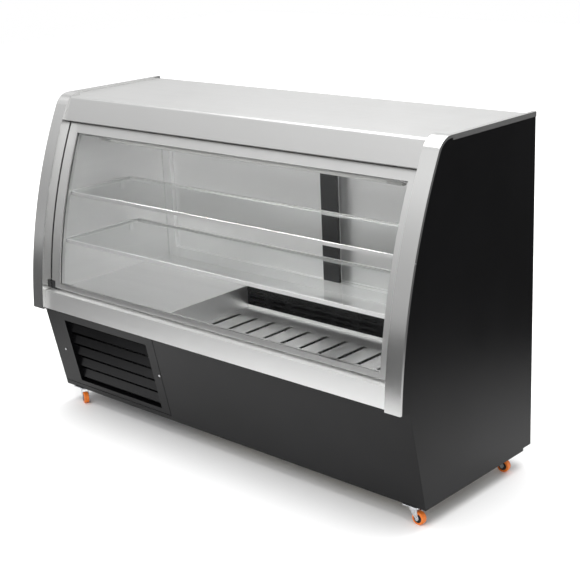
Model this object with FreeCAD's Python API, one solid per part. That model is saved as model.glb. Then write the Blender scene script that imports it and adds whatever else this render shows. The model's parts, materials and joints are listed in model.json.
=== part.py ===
"""Curved-glass refrigerated deli case on swivel casters.

Millimetres. +X is the case's right as a customer faces it, -Y is the customer side, +Z is up.
The origin is on the floor, under the middle of the case.
"""
import FreeCAD, Part
import math
import os

os.makedirs("parts", exist_ok=True)

V = FreeCAD.Vector

# ---------------------------------------------------------------- overall
LENGTH = 2000.0            # over the side trims
DEPTH = 804.0              # rear skin to the foot of the curved front
HEIGHT = 1365.0            # floor to the top edge trim
SKIRT = 76.0               # floor to the underside of the body

SHEET = 2.0                # body sheet
TRIM = 1.5                 # stainless trim sheet
FIT = 0.3                  # gap between pieces that move past each other
WALL = 70.0                # side wall, skin to liner
FOAM = 44.0                # floor, riser and ceiling insulation

# ---------------------------------------------------------------- curved front
FRONT_R = 2208.0           # radius of the curved front
FRONT_RISE = 133.0         # height of the trim's foot above the arc's foremost point
CORNER_R = 75.0            # rounded top-front corner of the trims
TRIM_FACE = 67.0           # width of a front trim's face
TRIM_WRAP = 10.0           # how far a front trim wraps round the side
TRIM_RETURN = 74.0         # depth of a front trim's inner return, less than CORNER_R
TOP_TRIM_FACE = 16.0       # width of a top edge trim
TOP_TRIM_DROP = 18.0       # its outer flange
TRIM_PROUD = 10.0          # trims stand this far proud of the top sheet and the hood

TOP_FLANGE = 55.0          # flange behind the top sheet
HOOD_DROP = 102.0          # top edge trim down to the hood's lip
HOOD_BEND_R = 14.0         # bend between the hood and the top sheet
SILL_TOP = 557.0           # ledge under the glass frame
SILL_FACE = 81.0           # the ledge down to the foot of the curved trims
SILL_INSET = 15.0          # the sill stands this far behind the trims' face

FRAME_INSET = 47.0         # front of the glass frame, behind the trims' face
FRAME_DEEP = 25.0          # thickness of the glass frame
FRAME_GAP = 16.0           # hood's lip down to the glass frame
STILE = 54.0               # width of a stile
RAIL_LOW = 20.0            # height of the bottom rail
RAIL_HIGH = 41.0           # height of the top rail
HINGE_UP = 20.0            # hinge axis above the sill's ledge
HINGE_R = 4.0              # hinge pin
BLOCK_IN = 21.0            # how far a hinge block reaches in from the frame's outer edge
PIN_SHORT = 2.0            # from a hinge pin's end to the glass's groove
GLASS = 6.0                # front glass and shelves
GROOVE = 9.0               # how deep the glass sits in its frame
GASKET = 4.7               # side gasket of the glass frame

# ---------------------------------------------------------------- floors, well and shelves
FLOOR_DROP = 11.0          # sill's ledge down to the raised floor
WELL_STEP = 94.0           # raised floor down to the slotted deck
WELL_ROOM = 132.0          # slotted deck down to the bottom of the well
MACHINE_W = 700.0          # left end to the seam of the grille panel
RISER_STEP = 20.0          # that seam to the riser between the two floors
REAR_LEDGE = 209.0         # rear edge of both floors, before the rear skin
LINER_IN = 84.0            # the liner's front wall, behind the body's foremost edge
TUB_LEAN = 28.0            # how far the well's front wall leans back at its foot
TUB_BEND = 12.0            # that wall is upright down to this far under the deck
RAIL = 12.0                # rails that carry the slotted deck

SLOT_FIRST = 42.0          # first slot's middle, from the riser
SLOT_PITCH = 97.0
SLOT_W = 18.0
SLOT_REAR = 90.0           # rear end of the slots, from the deck's lip
SLOT_FRONT = 48.0          # front end of the slots, from the liner's front wall
DECK_LIP = 12.0
GUARD_SLOT = (80.0, 7.0)   # air slots of the evaporator guard: length, height
GUARD_PITCH = (120.0, 22.0)              # their pitch along and up

# each shelf's place between floor and lamp header, its gap to the liner's front and to the floor's rear
SHELVES = {
    "upper_shelf": (0.652, 83.0, 88.0),
    "lower_shelf": (0.345, 33.0, 58.0),
}
SHELF_END = 32.0           # gap from a shelf's end to the liner
SHELF_RAIL = 14.0          # square shelf rail
SHELF_SEAT = 6.0           # width of the ledge that the glass sits on

# ---------------------------------------------------------------- kick panels and grille
KICK_TOP_IN = 57.0         # kick plane at the sill, behind the body's foremost edge
KICK_FOOT_IN = 136.0       # kick plane at the skirt, behind the same edge
KICK_DROP = 9.0            # foot of the curved trims down to the top of the kick plane
TOE = 24.0                 # strip under the grille panel
SEAM = 3.0                 # gap round the grille panel
GRILLE_MARGINS = (114.2, 52.0, 50.0)     # panel round the window: left, right, head
GRILLE_FOOT = 4.0          # base frame's front tube up to the window's foot
SLATS = 5
SLAT_GAP = 18.0            # over, under and between the slats
GRILLE_DEEP = 30.0
NOTCH = (52.0, 11.0)       # notch in the lower rear corners: depth, height

# ---------------------------------------------------------------- rear
JAMB = 50.0                # width of a rear door jamb
FRAME_THICK = 70.0         # depth of the rear door frame
REAR_SILL = 44.0           # raised floor up to the top of the rear sill
REAR_HEAD = 71.0           # ceiling liner down to the rear door head
DOOR_THICK = 17.0
TRACK_INS = (50.0, 26.0)   # front faces of the inner and outer door grooves, before the rear skin
TRACK_W = 18.0
SILL_GROOVE, HEAD_GROOVE = 12.0, 20.0
DOOR_CLEAR = 0.5           # a closed door stops this far from its jamb
DOOR_LAP = 27.0            # each door passes the post's middle by this much
POST_X = 72.0              # middle of the rear centre post
POST_W = 85.0              # its width
PULL = (26.0, 150.0, 8.0)  # recessed pull: width, height, depth
PULL_IN = 50.0             # the pull's middle, from the door's outer edge

# ---------------------------------------------------------------- lamp
HEADER_DEEP = 58.0
HEADER_DROP = 46.6         # back of the glass frame's top down to the header's underside
LAMP_END = 265.0           # lamp's lit end, from the case's end
LAMP_W = 24.0
LAMP_H = 17.0
HOLDER = 66.0

# ---------------------------------------------------------------- base and casters
TUBE = 40.0                # base frame tube
TUBE_WALL = 3.0
POST = 30.0                # uprights of the base frame
CASTER_PLATE = (62.0, 3.5)               # side, thickness
CASTER_IN = (70.0, 26.0, 58.0)           # swivel axes: from the end, the kick panel's foot, the rear notch
CASTER_TRAIL = 20.0        # swivel axis to wheel axle
WHEEL_D = 50.0             # caster wheel
WHEEL_W = 22.0
AXLE_R = 4.0
KINGPIN_R = 5.0
CUP_R, CUP_DEEP = 21.0, 8.5              # swivel cup under the plate

# ---------------------------------------------------------------- machinery
EVAP_FAN = 119.0           # square evaporator fan
FAN_DEEP = 38.0
FAN_BORE = 56.0
COND_FAN_R = 112.0         # condenser fan blade
DRAIN_R = 13.0
CORD_R = 4.0
GLAND_R = 10.0
RUNNING = 0.05             # clearance of a shaft in its bore

# ---------------------------------------------------------------- derived places
HX = LENGTH / 2
HY = DEPTH / 2
LINER_X = HX - WALL                      # inner face of the side liners
PANEL_X = HX - TRIM - SHEET - FIT        # ends of the panels between the side panels
TRIM_FOOT = SILL_TOP - SILL_FACE
CURVE_Z = TRIM_FOOT - FRONT_RISE         # height of the arc's centre
CURVE_Y = -HY + math.sqrt(FRONT_R ** 2 - FRONT_RISE ** 2)
TOP_Z = HEIGHT - TRIM_PROUD              # top sheet
CEILING_Z = TOP_Z - FOAM - 2 * SHEET     # underside of the ceiling liner
HOOD_LIP = HEIGHT - HOOD_DROP
FRAME_TOP = HOOD_LIP - FRAME_GAP
FRAME_X = HX - TRIM_FACE - GASKET - FIT  # outer edge of the glass frame
FRAME_BACK = FRAME_INSET + FRAME_DEEP
MID_INSET = FRAME_INSET + FRAME_DEEP / 2
HINGE_Z = SILL_TOP + HINGE_UP
FLOOR_Z = SILL_TOP - FLOOR_DROP
WELL_Z = FLOOR_Z - WELL_STEP
WELL_FOOT = WELL_Z - WELL_ROOM
WELL_FOAM_Z = WELL_FOOT - SHEET - FOAM
MACHINE_X = MACHINE_W - HX               # seam between the grille panel and the kick panel
RISER_X = MACHINE_X + RISER_STEP
REAR_Y = HY - REAR_LEDGE
LINER_FRONT = HY - LINER_IN              # these three are distances before the middle
KICK_TOP_Y = HY - KICK_TOP_IN
KICK_FOOT_Y = HY - KICK_FOOT_IN
KICK_TOP_Z = TRIM_FOOT - KICK_DROP
PANEL_HEAD = TRIM_FOOT + SHEET - FIT     # top of the kick and grille panels
REAR_SKIN = HY - 3.0                     # outer face of the lower rear panel
JAMB_Y = HY - FRAME_THICK                # front of the rear door frame
SILL_REAR_Z = FLOOR_Z + REAR_SILL
SILL_FOOT_Z = SILL_REAR_Z - JAMB
HEAD_REAR_Z = CEILING_Z - REAR_HEAD
TRACKS = [HY - into for into in TRACK_INS]
GUARD_Y = REAR_Y - 3.0                   # front of the evaporator guard


def curve_y(z, inset=0.0):
    """Y of the curved front at height z, inset towards the arc's centre."""
    return CURVE_Y - math.sqrt((FRONT_R - inset) ** 2 - (z - CURVE_Z) ** 2)


HINGE_Y = curve_y(HINGE_Z, MID_INSET)


def kick_y(z):
    """Y of the sloping kick plane at height z."""
    slope = (KICK_TOP_Y - KICK_FOOT_Y) / (KICK_TOP_Z - SKIRT)
    return -(KICK_FOOT_Y + (z - SKIRT) * slope)


# ---------------------------------------------------------------- helpers
def box(x0, x1, y0, y1, z0, z1):
    return Part.makeBox(x1 - x0, y1 - y0, z1 - z0, V(x0, y0, z0))


def rod(start, end, radius):
    along = V(*end) - V(*start)
    return Part.makeCylinder(radius, along.Length, V(*start), along)


def fuse(shapes):
    shapes = list(shapes)
    whole = shapes[0].fuse(shapes[1:]) if len(shapes) > 1 else shapes[0]
    return whole.removeSplitter()


def sheet_along_x(points, x0, x1):
    """A closed outline of (y, z) points, extruded from x0 to x1."""
    wire = Part.makePolygon([V(x0, y, z) for y, z in points + points[:1]])
    return Part.Face(wire).extrude(V(x1 - x0, 0, 0))


def plate_on_kick(x0, x1, z0, z1, front=0.0, thick=SHEET):
    """A sheet parallel to the kick plane, front being how far it stands before it."""
    y0, y1 = kick_y(z0) - front, kick_y(z1) - front
    return sheet_along_x([(y0, z0), (y0 + thick, z0), (y1 + thick, z1), (y1, z1)], x0, x1)


def mirror_x(shape):
    return shape.mirror(V(0, 0, 0), V(1, 0, 0))


def export(name, shape):
    if isinstance(shape, (list, tuple)):
        shape = Part.makeCompound(list(shape))
    shape.exportStep("parts/" + name + ".step")


# ---------------------------------------------------------------- the curved front
CORNER_Z = HEIGHT - CORNER_R
CORNER_Y = CURVE_Y - math.sqrt((FRONT_R - CORNER_R) ** 2 - (CORNER_Z - CURVE_Z) ** 2)
TRIM_END_Y = CORNER_Y + 10.0             # where the top edge trims begin
CORNER_TILT = math.atan2(CORNER_Z - CURVE_Z, CURVE_Y - CORNER_Y)


def on_arc(tilt, inset):
    """(y, z) on the curved front at an angle above its foremost point."""
    radius = FRONT_R - inset
    return CURVE_Y - radius * math.cos(tilt), CURVE_Z + radius * math.sin(tilt)


def tilt_at(z, inset):
    return math.asin((z - CURVE_Z) / (FRONT_R - inset))


def front_edges(x, inset, low_tilt):
    """Edges of the trim's outline at an inset, from its foot to the end of the corner."""
    foot, top = on_arc(low_tilt, inset), on_arc(CORNER_TILT, inset)
    middle = on_arc((low_tilt + CORNER_TILT) / 2, inset)
    radius = CORNER_R - inset
    lean = (CORNER_TILT + math.pi / 2) / 2
    bend = (CORNER_Y - radius * math.cos(lean), CORNER_Z + radius * math.sin(lean))
    crown, end = (CORNER_Y, HEIGHT - inset), (TRIM_END_Y, HEIGHT - inset)
    foot, middle, top, bend, crown, end = [V(x, y, z) for y, z in (foot, middle, top, bend, crown, end)]
    return [Part.Arc(foot, middle, top).toShape(), Part.Arc(top, bend, crown).toShape(),
            Part.makeLine(crown, end)], foot, end


def front_band(x0, x1, outer, inner, low_tilt):
    """The band between two insets of the whole trim outline, from x0 to x1."""
    outside, foot_a, end_a = front_edges(x0, outer, low_tilt)
    inside, foot_b, end_b = front_edges(x0, inner, low_tilt)
    edges = outside + [Part.makeLine(end_a, end_b)] + inside + [Part.makeLine(foot_b, foot_a)]
    wire = Part.Wire(Part.sortEdges(edges)[0])
    return Part.Face(wire).extrude(V(x1 - x0, 0, 0))


def arc_band(x0, x1, outer, inner, low, high):
    """The band between two insets of the plain arc, cut square to it at two tilts."""
    corners = [V(x0, *on_arc(t, i)) for t, i in ((low, outer), (high, outer), (high, inner), (low, inner))]
    mids = [V(x0, *on_arc((low + high) / 2, i)) for i in (outer, inner)]
    edges = [Part.Arc(corners[0], mids[0], corners[1]).toShape(), Part.makeLine(corners[1], corners[2]),
             Part.Arc(corners[2], mids[1], corners[3]).toShape(), Part.makeLine(corners[3], corners[0])]
    return Part.Face(Part.Wire(edges)).extrude(V(x1 - x0, 0, 0))


FOOT_TILT = tilt_at(TRIM_FOOT, 0.0)


def side_region(x0, x1, inset, floor_z=None):
    """The side outline of the body, extruded, and cut off below floor_z when that is given."""
    edges, foot, end = front_edges(x0, inset, FOOT_TILT)
    rear = HY - SHEET
    back = [(rear, HEIGHT - inset), (rear, SKIRT + NOTCH[1]), (HY - NOTCH[0], SKIRT + NOTCH[1]),
            (HY - NOTCH[0], SKIRT), (-KICK_FOOT_Y, SKIRT), (-KICK_TOP_Y, KICK_TOP_Z)]
    points = [end] + [V(x0, y, z) for y, z in back] + [foot]
    edges += [Part.makeLine(a, b) for a, b in zip(points, points[1:])]
    solid = Part.Face(Part.Wire(Part.sortEdges(edges)[0])).extrude(V(x1 - x0, 0, 0))
    if floor_z is None:
        return solid
    return solid.common(box(x0, x1, -HY - 50, HY + 50, floor_z, HEIGHT + 50))


# ---------------------------------------------------------------- body shell
def side_panel():
    """Outer sheet, folded in over the rear end of the side wall, above the rear panel."""
    skin = side_region(HX - TRIM - SHEET, HX - TRIM, TRIM)
    fold = box(LINER_X + SHEET + FIT, HX - TRIM, REAR_SKIN - SHEET, REAR_SKIN,
               SILL_FOOT_Z + FIT, TOP_Z - SHEET - FIT)
    return fuse([skin, fold])


def front_trim():
    face = front_band(HX - TRIM_FACE, HX, 0.0, TRIM, FOOT_TILT)
    wrap = front_band(HX - TRIM, HX, 0.0, TRIM_WRAP, FOOT_TILT)
    inner = front_band(HX - TRIM_FACE, HX - TRIM_FACE + TRIM, 0.0, TRIM_RETURN, FOOT_TILT)
    return fuse([face, wrap, inner])


def top_edge_trim():
    y0, y1 = TRIM_END_Y + FIT, HY
    strip = box(HX - TOP_TRIM_FACE, HX, y0, y1, HEIGHT - TRIM, HEIGHT)
    outer = box(HX - TRIM, HX, y0, y1, HEIGHT - TOP_TRIM_DROP, HEIGHT)
    inner = box(HX - TOP_TRIM_FACE, HX - TOP_TRIM_FACE + TRIM, y0, y1, TOP_Z - SHEET, HEIGHT)
    return fuse([strip, outer, inner])


def hood_bend_centre(inset):
    """Centre of the bend between the hood and the top sheet."""
    z = TOP_Z - HOOD_BEND_R
    return CURVE_Y - math.sqrt((FRONT_R - inset - HOOD_BEND_R) ** 2 - (z - CURVE_Z) ** 2), z


HOOD_Y = hood_bend_centre(TRIM_PROUD)[0]
HOOD_X = HX - TRIM_FACE - FIT            # ends of the hood and the sill, between the front trims


def hood_fascia():
    """Curved face, its bend up to the top sheet, and the flange turned in at the lip."""
    inset, bend = TRIM_PROUD, hood_bend_centre(TRIM_PROUD)
    top = math.atan2(bend[1] - CURVE_Z, CURVE_Y - bend[0])
    low = tilt_at(HOOD_LIP, inset)
    face = arc_band(-HOOD_X, HOOD_X, inset, inset + SHEET, low, top)
    outer, inner = HOOD_BEND_R, HOOD_BEND_R - SHEET
    lean = (top + math.pi / 2) / 2

    def at(angle, radius):
        return V(-HOOD_X, bend[0] - radius * math.cos(angle), bend[1] + radius * math.sin(angle))

    half = math.pi / 2
    edges = [Part.Arc(at(top, outer), at(lean, outer), at(half, outer)).toShape(),
             Part.makeLine(at(half, outer), at(half, inner)),
             Part.Arc(at(half, inner), at(lean, inner), at(top, inner)).toShape(),
             Part.makeLine(at(top, inner), at(top, outer))]
    corner = Part.Face(Part.Wire(edges)).extrude(V(2 * HOOD_X, 0, 0))
    lip = arc_band(-HOOD_X, HOOD_X, inset, inset + 16.0, low, low + SHEET / FRONT_R)
    return fuse([face, corner, lip])


def top_sheet():
    """Flat top between the edge trims, and the flange turned down behind it."""
    x = HX - TOP_TRIM_FACE - FIT
    under = TOP_Z - SHEET
    wide = box(-x, x, TRIM_END_Y + FIT, HY, under, TOP_Z)
    narrow = box(-HOOD_X, HOOD_X, HOOD_Y, TRIM_END_Y + FIT, under, TOP_Z)
    flange = box(-HX + TRIM + SHEET, HX - TRIM - SHEET, HY - SHEET, HY, TOP_Z - TOP_FLANGE, under)
    return fuse([wide, narrow, flange])


def sill_fascia():
    """Ledge under the glass frame, outer face and the return under it."""
    x = HOOD_X
    low, high = tilt_at(TRIM_FOOT + SHEET, SILL_INSET), tilt_at(SILL_TOP, SILL_INSET)
    face = arc_band(-x, x, SILL_INSET, SILL_INSET + SHEET, low, high)
    front = curve_y(SILL_TOP, SILL_INSET)
    ledge = box(-LINER_X, LINER_X, front + 0.5, -LINER_FRONT, SILL_TOP - SHEET, SILL_TOP)
    foot_y = on_arc(low, SILL_INSET)[0]
    under = box(-x, x, foot_y + 0.2, -KICK_TOP_Y + 3.0, TRIM_FOOT + SHEET, TRIM_FOOT + 2 * SHEET)
    return fuse([face, ledge, under])


def trim_foot_room():
    """Room in a panel's top corner for the foot of the right front trim's return."""
    return box(HX - TRIM_FACE - 1.0, HX, -HY, 0.0, TRIM_FOOT - 6.0, TRIM_FOOT + 10.0)


def kick_panel():
    main = plate_on_kick(MACHINE_X, PANEL_X, SKIRT, PANEL_HEAD)
    toe = plate_on_kick(-PANEL_X, MACHINE_X, SKIRT, SKIRT + TOE - SEAM)
    return fuse([main, toe]).cut(trim_foot_room())


GRILLE_WINDOW = (GRILLE_MARGINS[0] - PANEL_X, MACHINE_X - GRILLE_MARGINS[1],
                 SKIRT + TUBE + GRILLE_FOOT, KICK_TOP_Z - GRILLE_MARGINS[2])


def grille_panel():
    """Removable panel with a framed window, and slats set back in it."""
    left, right, foot, head = GRILLE_WINDOW
    outer = plate_on_kick(-PANEL_X, MACHINE_X - SEAM, SKIRT + TOE, PANEL_HEAD).cut(mirror_x(trim_foot_room()))
    window = plate_on_kick(left, right, foot, head, front=5.0, thick=60.0)
    frame = plate_on_kick(left - SHEET, right + SHEET, foot - SHEET, head + SHEET, thick=GRILLE_DEEP)
    pieces = [outer.cut(window), frame.cut(window)]
    pitch = (head - foot - SLAT_GAP) / SLATS
    for i in range(SLATS):
        z0 = foot + SLAT_GAP + i * pitch
        z1 = z0 + pitch - SLAT_GAP
        y0, y1 = kick_y(z0) + GRILLE_DEEP - 18.0, kick_y(z1) + GRILLE_DEEP - 6.0
        points = [(y0, z0), (y0 + SHEET, z0), (y1 + SHEET, z1), (y1, z1)]
        pieces.append(sheet_along_x(points, left - SHEET / 2, right + SHEET / 2))
    return drill(fuse(pieces), SCREWS)


# ---------------------------------------------------------------- screws: place, direction, head radius, head
REAR_SCREW_X = (40.0 - HX, MACHINE_X - 40.0, MACHINE_X + 40.0, MACHINE_X + 630.0, HX - 40.0)
REAR_SCREW_Z = (SKIRT + NOTCH[1] + 24.0, SILL_FOOT_Z - 32.0)
KICK_NORMAL = (0.0, KICK_TOP_Z - SKIRT, KICK_TOP_Y - KICK_FOOT_Y)
TRIM_SCREW_Z = SILL_TOP + 421.0
SCREWS = [((x, kick_y(z), z), KICK_NORMAL, 5.0, 2.4)
          for x, z in ((67.0 - HX, SKIRT + 189.0), (MACHINE_X - 11.0, SKIRT + 209.0))]
SCREWS += [((side * HX, curve_y(TRIM_SCREW_Z, TRIM_WRAP / 2), TRIM_SCREW_Z), (-side, 0, 0), 3.0, 0.8)
           for side in (-1, 1)]
SCREWS += [((x, REAR_SKIN, z), (0, -1, 0), 5.0, 2.4) for x in REAR_SCREW_X for z in REAR_SCREW_Z]


def drill(shape, screws):
    """Clearance holes for the shanks of these screws."""
    for at, along, radius, head in screws:
        unit = V(*along).normalize()
        shape = shape.cut(Part.makeCylinder(radius * 0.4 + 0.1, 14.0, V(*at) - unit * 2.0, unit))
    return shape


def panel_screws():
    solids = []
    for at, along, radius, head in SCREWS:
        start, unit = V(*at), V(*along).normalize()
        cap = Part.makeCylinder(radius, head, start - unit * head, unit)
        socket = Part.makeCylinder(radius * 0.35, head * 0.6, start - unit * head, unit)
        solids.append(cap.cut(socket).fuse(Part.makeCylinder(radius * 0.4, 8.0, start, unit)))
    return solids


# ---------------------------------------------------------------- rear
VENT = (100.0 - HX, MACHINE_X - 120.0, SKIRT + 104.0, WELL_Z - 32.0)     # rear vent: left, right, foot, head
VENT_SLOT, VENT_PITCH = 8.0, 24.0
CONTROL = (MACHINE_X - 340.0, WELL_Z + 14.0, 78.0, 34.0)    # thermostat: middle x, middle z, width, height
GLAND = (150.0 - HX, HY - 27.0)          # cord gland: x, y


def rear_panel():
    """Lower rear sheet with vent slots, and the return over the notch that carries the cord gland."""
    foot = SKIRT + NOTCH[1]
    sheet = box(-PANEL_X, PANEL_X, REAR_SKIN - SHEET, REAR_SKIN, foot, SILL_FOOT_Z)
    under = box(-PANEL_X, PANEL_X, HY - NOTCH[0] + FIT, REAR_SKIN - SHEET, foot, foot + SHEET)
    left, right, low, high = VENT
    middle = (left + right) / 2
    slots = []
    z = low
    while z + VENT_SLOT <= high:
        for x0, x1 in ((left, middle - 12.0), (middle + 12.0, right)):
            slots.append(box(x0, x1, REAR_SKIN - 10.0, HY, z, z + VENT_SLOT))
        z += VENT_PITCH
    x, z, width, height = CONTROL
    slots.append(box(x - width / 2 + 4.0, x + width / 2 - 4.0, REAR_SKIN - 10, HY,
                     z - height / 2 + 3.0, z + height / 2 - 3.0))
    gland_hole = rod((*GLAND, foot - 5.0), (*GLAND, foot + 10.0), GLAND_R + 0.1)
    return [drill(sheet.cut(Part.makeCompound(slots)), SCREWS), under.cut(gland_hole)]


def control_box():
    """Thermostat with a flush face and its body behind the panel."""
    x, z, width, height = CONTROL
    bezel = box(x - width / 2, x + width / 2, REAR_SKIN, REAR_SKIN + 2.5, z - height / 2, z + height / 2)
    window = box(x - width / 2 + 8.0, x + 10.0, REAR_SKIN + 1.8, REAR_SKIN + 3.0, z - 9.0, z + 9.0)
    body = box(x - width / 2 + 4.3, x + width / 2 - 4.3, REAR_SKIN - 58.0, REAR_SKIN,
               z - height / 2 + 3.3, z + height / 2 - 3.3)
    return fuse([bezel.cut(window), body])


def cord_gland():
    """Gland under the rear return, bored for a cord."""
    x, y, foot = GLAND[0], GLAND[1], SKIRT + NOTCH[1]
    collar = rod((x, y, foot - 5.0), (x, y, foot), 14.0)
    neck = rod((x, y, foot - 1.0), (x, y, foot + SHEET + 8.0), GLAND_R)
    nut = rod((x, y, foot + SHEET), (x, y, foot + SHEET + 5.0), 14.0)
    dome = Part.makeCone(8.0, 12.0, 13.0, V(x, y, foot - 18.0), V(0, 0, 1))
    bore = rod((x, y, foot - 30.0), (x, y, foot + 30.0), CORD_R)
    return fuse([collar, neck, nut, dome]).cut(bore)


def door_frame():
    """Sill, head and two jambs round the rear doors."""
    x, inner = LINER_X + SHEET, LINER_X - JAMB
    sill = box(-x, x, JAMB_Y, HY, SILL_FOOT_Z, SILL_REAR_Z)
    head = box(-x, x, JAMB_Y, HY - SHEET - FIT, HEAD_REAR_Z, CEILING_Z + SHEET)
    for y in TRACKS:
        sill = sill.cut(box(-inner, inner, y, y + TRACK_W, SILL_REAR_Z - SILL_GROOVE, SILL_REAR_Z + 5))
        head = head.cut(box(-inner, inner, y, y + TRACK_W, HEAD_REAR_Z - 5, HEAD_REAR_Z + HEAD_GROOVE))
    jambs = [box(min(a, b), max(a, b), JAMB_Y, HY, SILL_REAR_Z, HEAD_REAR_Z)
             for a, b in ((-x, -inner), (inner, x))]
    return [sill, head] + jambs


def rear_door(track, x0, x1, pull_x):
    y0 = TRACKS[track] + 0.5
    z0, z1 = SILL_REAR_Z - SILL_GROOVE + 1.0, HEAD_REAR_Z + HEAD_GROOVE - 6.0
    leaf = box(x0, x1, y0, y0 + DOOR_THICK, z0, z1)
    width, height, deep = PULL
    middle = (z0 + z1) / 2
    pocket = box(pull_x - width / 2, pull_x + width / 2, y0 + DOOR_THICK - deep, y0 + DOOR_THICK + 1,
                 middle - height / 2, middle + height / 2)
    return leaf.cut(pocket)


DOOR_EDGE = LINER_X - JAMB - DOOR_CLEAR


def centre_post():
    half = POST_W / 2
    return box(POST_X - half, POST_X + half, JAMB_Y + 2.0, TRACKS[0] - 4.0, SILL_REAR_Z, HEAD_REAR_Z)


# ---------------------------------------------------------------- liner and insulation
TUB_BEND_Z = WELL_Z - TUB_BEND
TUB_FOOT_Y = LINER_FRONT - TUB_LEAN      # foot of the well's front wall, before the middle


def before_tub(set_back):
    """The space before the well's front wall, its edge moved back by set_back."""
    y0, y1 = -LINER_FRONT + set_back, -TUB_FOOT_Y + set_back
    lean = (TUB_FOOT_Y - LINER_FRONT) / (TUB_BEND_Z - WELL_FOOT)
    below = 60.0
    points = [(-HY - 50, SILL_TOP), (y0, SILL_TOP), (y0, TUB_BEND_Z), (y1 - lean * below, WELL_FOOT - below),
              (-HY - 50, WELL_FOOT - below)]
    return sheet_along_x(points, -HX, HX)


def side_liner(foot_z):
    region = side_region(LINER_X, LINER_X + SHEET, TRIM_RETURN + FIT)
    region = region.common(box(LINER_X, LINER_X + SHEET, -LINER_FRONT, JAMB_Y, foot_z, CEILING_Z))
    return region.cut(before_tub(0.0))


def machine_deck():
    """Floor over the machine compartment and the riser down into the well."""
    floor = box(-LINER_X, RISER_X, SHEET - LINER_FRONT, REAR_Y, FLOOR_Z - SHEET, FLOOR_Z)
    riser = box(RISER_X - SHEET, RISER_X, -LINER_FRONT, JAMB_Y - SHEET, WELL_FOOT, FLOOR_Z - SHEET)
    return fuse([floor, riser.cut(before_tub(0.0))])


DRAIN = (RISER_X + 530.0, 282.0 - HY)    # drain pipe: x, y


def well_tub():
    """Floor, front and rear walls of the well, and the two rails under the deck."""
    x0, x1 = RISER_X, LINER_X
    drain_hole = rod((*DRAIN, WELL_FOOT - 20), (*DRAIN, WELL_FOOT + 20), DRAIN_R + 0.1)
    floor = box(x0, x1, -TUB_FOOT_Y, JAMB_Y, WELL_FOOT - SHEET, WELL_FOOT).cut(drain_hole)
    front = before_tub(SHEET).cut(before_tub(0.0)).common(box(x0, x1, -HY, 0, WELL_FOOT, SILL_TOP - SHEET))
    rear = box(x0, x1, JAMB_Y - SHEET, JAMB_Y, WELL_FOOT, FLOOR_Z - SHEET)
    lip = box(-LINER_X, RISER_X, -LINER_FRONT, SHEET - LINER_FRONT, FLOOR_Z - SHEET, SILL_TOP - SHEET)
    top = WELL_Z - SHEET
    rails = [box(x0, x1, -LINER_FRONT + SHEET, -LINER_FRONT + SHEET + RAIL, TUB_BEND_Z, top),
             box(x0, x1, GUARD_Y + SHEET - RAIL, GUARD_Y + SHEET, top - RAIL, top)]
    return [floor, front, rear, lip] + rails


def slotted_deck():
    x0, x1 = RISER_X + 1.0, LINER_X - 1.0
    y0, y1 = -LINER_FRONT + SHEET + 1.0, GUARD_Y - 1.0
    plate = box(x0, x1, y0, y1, WELL_Z - SHEET, WELL_Z)
    lip = box(x0, x1, y1 - SHEET, y1, WELL_Z - SHEET, WELL_Z + DECK_LIP)
    slots = []
    x = RISER_X + SLOT_FIRST
    while x + SLOT_W < x1:
        front, rear = -LINER_FRONT + SLOT_FRONT, y1 - SLOT_REAR
        slots.append(box(x - SLOT_W / 2, x + SLOT_W / 2, front, rear, WELL_Z - 10, WELL_Z + 5))
        x += SLOT_PITCH
    return fuse([plate, lip]).cut(Part.makeCompound(slots))


def rear_ledge():
    left = box(-LINER_X, RISER_X, REAR_Y + 0.5, JAMB_Y, FLOOR_Z - SHEET, FLOOR_Z)
    right = box(RISER_X, LINER_X, GUARD_Y, JAMB_Y, FLOOR_Z - SHEET, FLOOR_Z)
    return fuse([left, right])


def evaporator_guard():
    """Upright guard with a row of air slots under the ledge."""
    plate = box(RISER_X, LINER_X, GUARD_Y, GUARD_Y + SHEET, WELL_Z - SHEET, FLOOR_Z - SHEET)
    slots = []
    length, height = GUARD_SLOT
    x = RISER_X + GUARD_PITCH[0] / 2
    while x + length < LINER_X:
        for row in (1, 2, 3):
            z = WELL_Z + row * GUARD_PITCH[1]
            slots.append(box(x - length / 2, x + length / 2, GUARD_Y - 5, GUARD_Y + 5, z, z + height))
        x += GUARD_PITCH[0]
    return plate.cut(Part.makeCompound(slots))


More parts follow.
